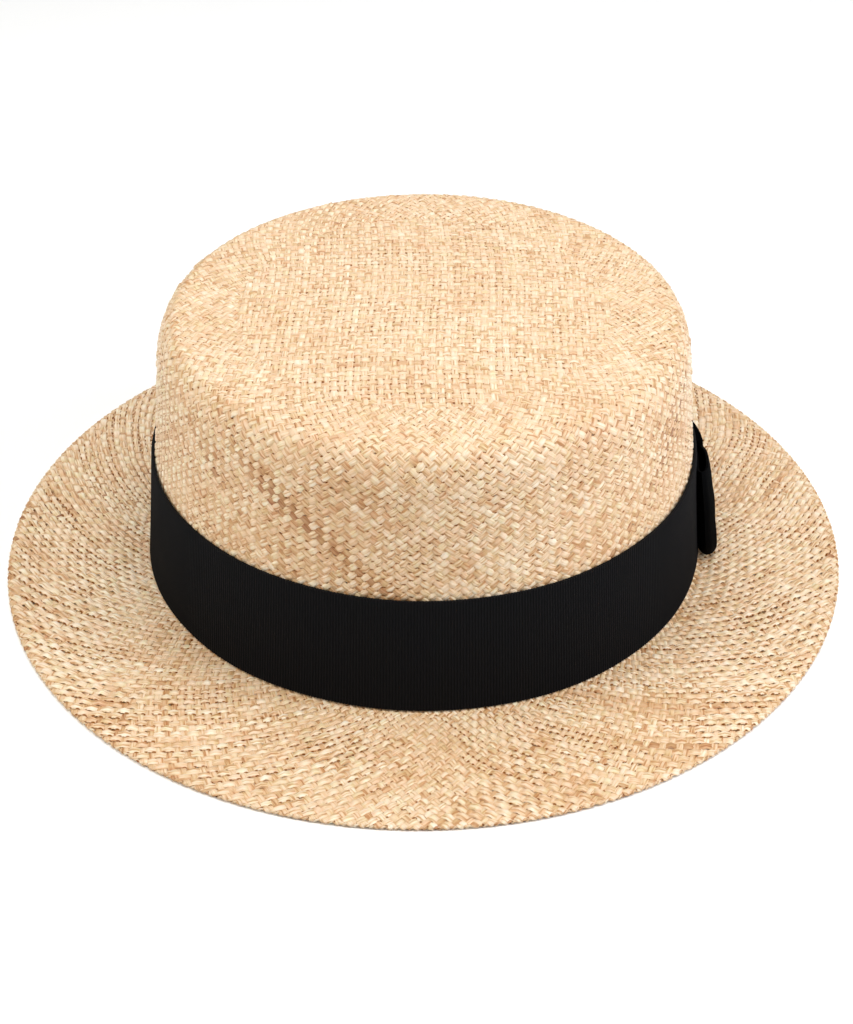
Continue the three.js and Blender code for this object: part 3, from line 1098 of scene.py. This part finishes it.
class BOATER_OT_bow_loops(bpy.types.Operator):
    """Fold the ribbon flat into the two loops of the bow"""

    bl_idname = "boater.bow_loops"
    bl_label = "Bow Loops"

    def execute(self, context):
        ribbon = context.scene.boater.ribbon
        bow = context.scene.boater.bow
        steps = 4 * round(bow.length / ribbon.rib_pitch)
        shape = bmesh.new()
        spun_round(shape, np.linspace(-1, 1, 13), steps)
        for vertex in shape.verts:
            part = math.atan2(vertex.co.y, vertex.co.x) / (2 * math.pi) % 1.0
            groove = ribbon.rib_depth * in_groove(part, steps)
            vertex.co = onto_loops(part, vertex.co.z, groove, bow)
        # The bow's darker black is painted shade
        look = (tuple(ribbon.bow_painted_shade_black), BOW_GLOSS)
        loops = ribbed_piece("bow_loop_ribbon", shape, ribbon.cloth, look, "bow_loops")
        return {"FINISHED"}


class BOATER_OT_bow_knot(bpy.types.Operator):
    """Wrap a short strap over the waist of the bow"""

    bl_idname = "boater.bow_knot"
    bl_label = "Bow Knot"

    def execute(self, context):
        ribbon = context.scene.boater.ribbon
        bow = context.scene.boater.bow
        half_width = bow.knot_width / 2
        half = bow_half_height(half_width, bow) + GAP + KNOT_CLOTH
        front = bow_out(half_width, bow) + GAP + KNOT_CLOTH
        step = ribbon.rib_pitch / 2
        path = np.concatenate([
            line((-half, GAP), (-half, front - KNOT_ROUND), step),
            arc((-half + KNOT_ROUND, front - KNOT_ROUND), KNOT_ROUND, 180, 90, 6),
            line((-half + KNOT_ROUND, front), (half - KNOT_ROUND, front), step),
            arc((half - KNOT_ROUND, front - KNOT_ROUND), KNOT_ROUND, 90, 0, 6),
            line((half, front - KNOT_ROUND), (half, GAP), step),
        ])
        path = np.stack([path, set_in(path, ribbon.rib_depth)])
        shape = bmesh.new()
        row = [shape.verts.new((-1.0, index, 0)) for index in range(path.shape[1])]
        edges = [shape.edges.new(pair) for pair in zip(row, row[1:])]
        for _ in range(KNOT_ROWS):
            made = bmesh.ops.extrude_edge_only(shape, edges=edges)["geom"]
            edges = [item for item in made if isinstance(item, bmesh.types.BMEdge)
                     and all(end in made for end in item.verts)]
            corners = [item for item in made if isinstance(item, bmesh.types.BMVert)]
            bmesh.ops.translate(shape, verts=corners, vec=(2.0 / KNOT_ROWS, 0, 0))
        middle = (bow.bottom + bow.top) / 2
        for vertex in shape.verts:
            index = round(vertex.co.y)
            height, out = path[index % 2, index]
            squeeze = 1 - KNOT_SQUEEZE * math.cos(math.pi * height / (2 * half))
            bulge = KNOT_BULGE * (1 - vertex.co.x ** 2) * min(1.0, out / front)
            vertex.co = onto_band(out + bulge, vertex.co.x * half_width * squeeze, middle + height, bow)
        # The bow's darker black is painted shade
        look = (tuple(ribbon.bow_painted_shade_black), BOW_GLOSS)
        knot = ribbed_piece("bow_knot_ribbon", shape, ribbon.cloth, look, "bow_knot")
        return {"FINISHED"}


class BOATER_OT_stage(bpy.types.Operator):
    """Set up the floor, the lights and the camera"""

    bl_idname = "boater.stage"
    bl_label = "Stage"

    def execute(self, context):
        stage = context.scene.boater.stage
        self.add_floor(stage)
        self.add_lights(context.scene, stage)
        self.add_camera(context.scene, stage)
        return {"FINISHED"}

    def add_floor(self, stage):
        """A plain floor, wide enough for every view"""
        mesh = bpy.data.meshes.new("studio_floor")
        shape = bmesh.new()
        bmesh.ops.create_circle(shape, cap_ends=True, segments=96, radius=FLOOR_RADIUS)
        shape.to_mesh(mesh)
        shape.free()
        mesh.materials.append(floor_material(tuple(stage.floor)))
        floor = bpy.data.objects.new("studio_floor", mesh)
        bpy.context.scene.collection.objects.link(floor)
        floor.location.z = BRIM_LOW.z - FLOOR_DROP

    def add_lights(self, scene, stage):
        """An even room and five softboxes"""
        world = bpy.data.worlds.new("studio_room")
        world.use_nodes = True
        background = world.node_tree.nodes["Background"]
        background.inputs["Color"].default_value = (1, 1, 1, 1)
        background.inputs["Strength"].default_value = stage.sky
        scene.world = world
        for name, place, size, colour in SOFTBOXES:
            self.add_softbox(name + "_softbox", place, size, getattr(stage, name + "_light"), colour)
        scene.view_settings.view_transform = "Standard"

    def add_softbox(self, name, place, size, power, colour):
        """A square soft light that faces the hat"""
        light = bpy.data.lights.new(name, "AREA")
        light.size = size
        light.energy = power
        light.color = colour
        softbox = bpy.data.objects.new(name, light)
        softbox.location = place
        softbox.rotation_mode = "QUATERNION"
        softbox.rotation_quaternion = (HAT_MIDDLE - Vector(place)).to_track_quat("-Z", "Y")
        bpy.context.scene.collection.objects.link(softbox)

    def add_camera(self, scene, stage):
        """A camera in front of the hat that looks at the middle of the brim's top"""
        lens = bpy.data.cameras.new("photo_camera")
        lens.lens = stage.lens
        lens.shift_x, lens.shift_y = stage.shift
        camera = bpy.data.objects.new("photo_camera", lens)
        way = Vector((0, -math.cos(stage.elevation), math.sin(stage.elevation)))
        camera.location = Vector((0, 0, BRIM_TOP)) + way * stage.distance
        camera.rotation_mode = "QUATERNION"
        camera.rotation_quaternion = (-way).to_track_quat("-Z", "Y")
        scene.collection.objects.link(camera)
        scene.camera = camera


class BOATER_PT_panel(bpy.types.Panel):
    """Settings and steps of the hat"""

    bl_idname = "BOATER_PT_panel"
    bl_label = "Straw Boater"
    bl_space_type = "VIEW_3D"
    bl_region_type = "UI"
    bl_category = "Boater"

    def draw(self, context):
        settings = context.scene.boater
        for title in ("straw", "ribbon", "bow", "stage"):
            group = getattr(settings, title)
            box = self.layout.box()
            box.label(text=title.capitalize())
            for name in group.__annotations__:
                box.prop(group, name)
        for step in STEPS:
            self.layout.operator(step.bl_idname)


STEPS = (
    BOATER_OT_stage,
    BOATER_OT_crown_top,
    BOATER_OT_crown_wall,
    BOATER_OT_brim,
    BOATER_OT_ribbon_band,
    BOATER_OT_bow_loops,
    BOATER_OT_bow_knot,
)
CLASSES = (
    StrawSettings, RibbonSettings, BowSettings, StageSettings, BoaterSettings, *STEPS, BOATER_PT_panel)


def register():
    """Adds the classes and the scene's settings"""
    for cls in CLASSES:
        bpy.utils.register_class(cls)
    bpy.types.Scene.boater = PointerProperty(type=BoaterSettings)


def unregister():
    """Removes the scene's settings and the classes"""
    del bpy.types.Scene.boater
    for cls in reversed(CLASSES):
        bpy.utils.unregister_class(cls)


def main():
    """Makes the whole hat on its stage"""
    register()
    bpy.ops.boater.stage()
    bpy.ops.boater.crown_top()
    bpy.ops.boater.crown_wall()
    bpy.ops.boater.brim()
    bpy.ops.boater.ribbon_band()
    bpy.ops.boater.bow_loops()
    bpy.ops.boater.bow_knot()


if __name__ == "__main__":
    main()
